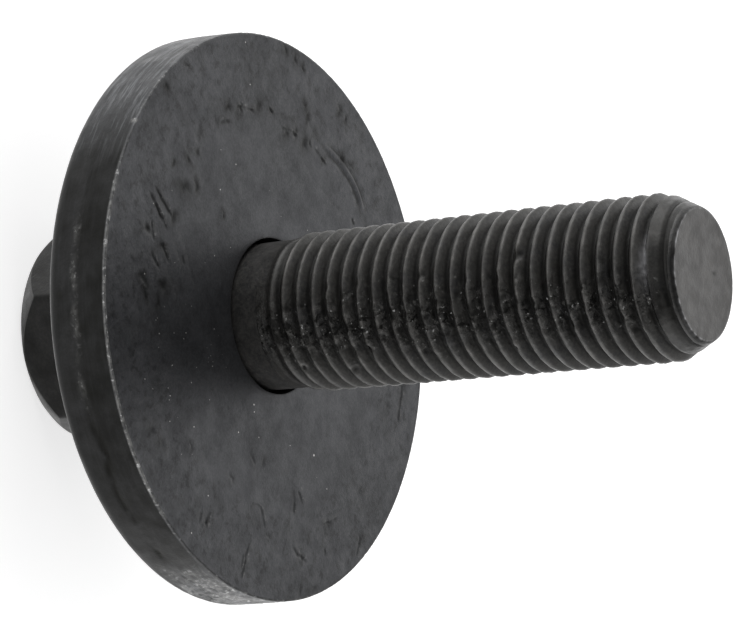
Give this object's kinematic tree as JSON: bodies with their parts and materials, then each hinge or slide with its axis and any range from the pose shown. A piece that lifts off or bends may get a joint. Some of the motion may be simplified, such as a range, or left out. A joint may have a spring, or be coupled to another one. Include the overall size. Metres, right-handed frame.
{
  "type": "harmonic balancer bolt",
  "caption": "Hex head bolt with a plain neck, fine rolled thread, bevelled end and a thick loose captive washer under the head.",
  "frame": {"origin": "centre of the head's outer face, on which the bolt stands", "axes": "+Z along the bolt axis from the head to the thread end; the head's flats face +Y and -Y, its corners +X and -X"},
  "size_m": [0.05, 0.05, 0.062],
  "materials": {
    "bolt_steel": "black phosphate and oil, rubbed brighter on the thread crests",
    "washer_steel": "black phosphate on a blanked washer, scratched and dented"
  },
  "bodies": {
    "bolt": {"bolt": "bolt_steel"},
    "washer": {"captive_washer": "washer_steel"}
  },
  "joints": [
    {"name": "washer_spin", "type": "hinge", "parent": "bolt", "child": "washer", "pos_m": [0, 0, 0.0178], "axis": [0, 0, 1], "continuous": true}
  ]
}
